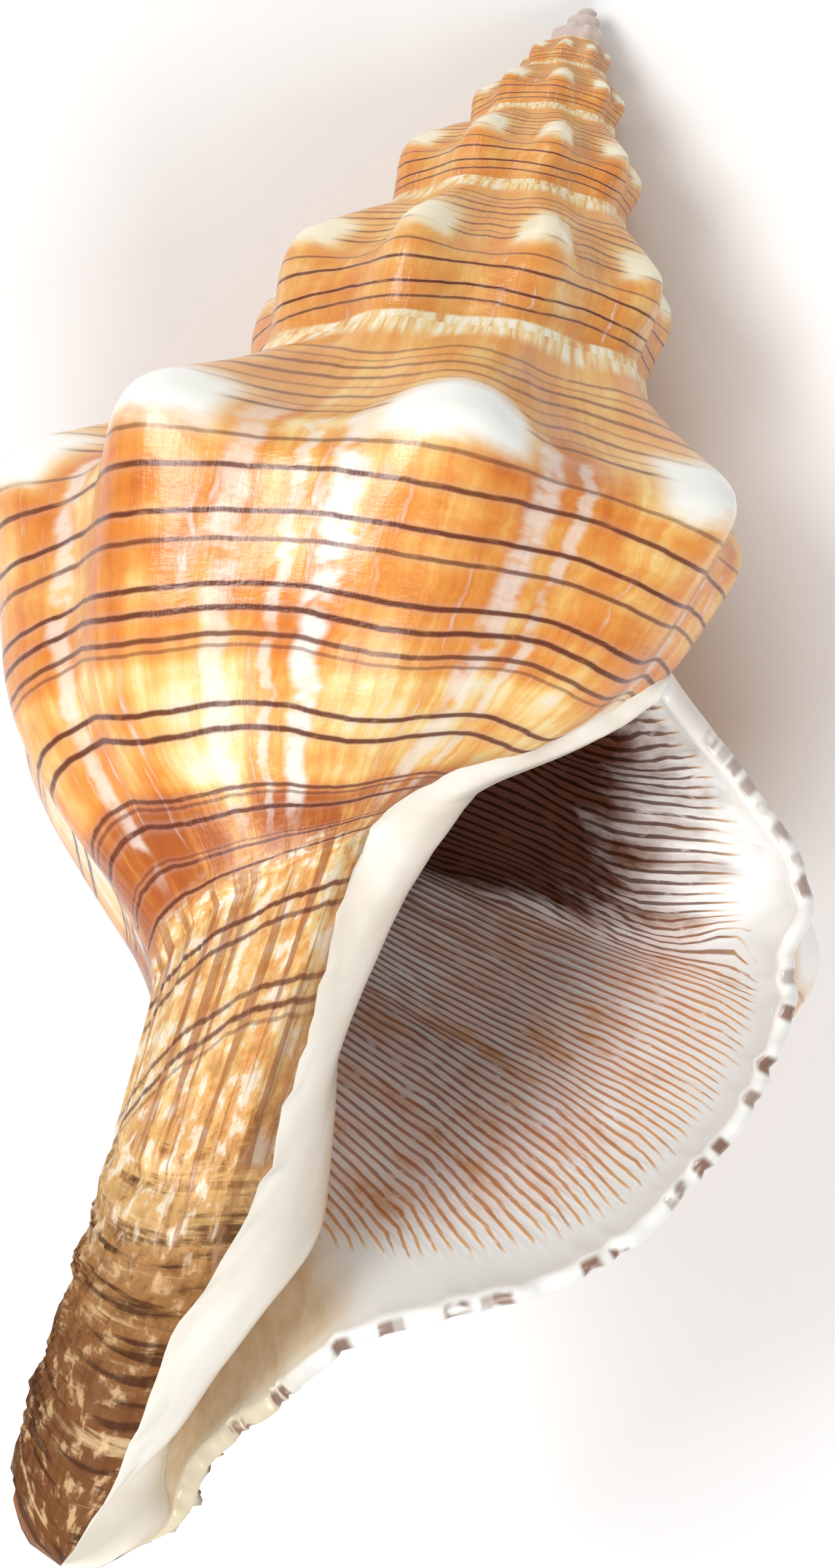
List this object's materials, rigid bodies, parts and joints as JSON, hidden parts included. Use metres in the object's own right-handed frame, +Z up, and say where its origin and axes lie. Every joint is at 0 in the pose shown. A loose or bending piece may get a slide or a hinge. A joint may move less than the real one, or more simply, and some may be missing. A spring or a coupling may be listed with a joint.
{
  "type": "conch shell",
  "caption": "Spiral sea shell with a knobbed shoulder, stepped spire, wide open mouth with a white inner lip, and a short open canal at the foot.",
  "frame": {"origin": "on the floor, under the middle of the shell's bounding box as it lies", "axes": "+Z up, +Y along the shell towards its apex, +X towards the outer lip; the mouth faces up"},
  "size_m": [0.0804, 0.1292, 0.0777],
  "materials": {
    "shell": "glossy, orange and cream with fine dark spiral lines, white inner lip"
  },
  "bodies": {
    "root": {"shell": "shell"}
  },
  "joints": []
}
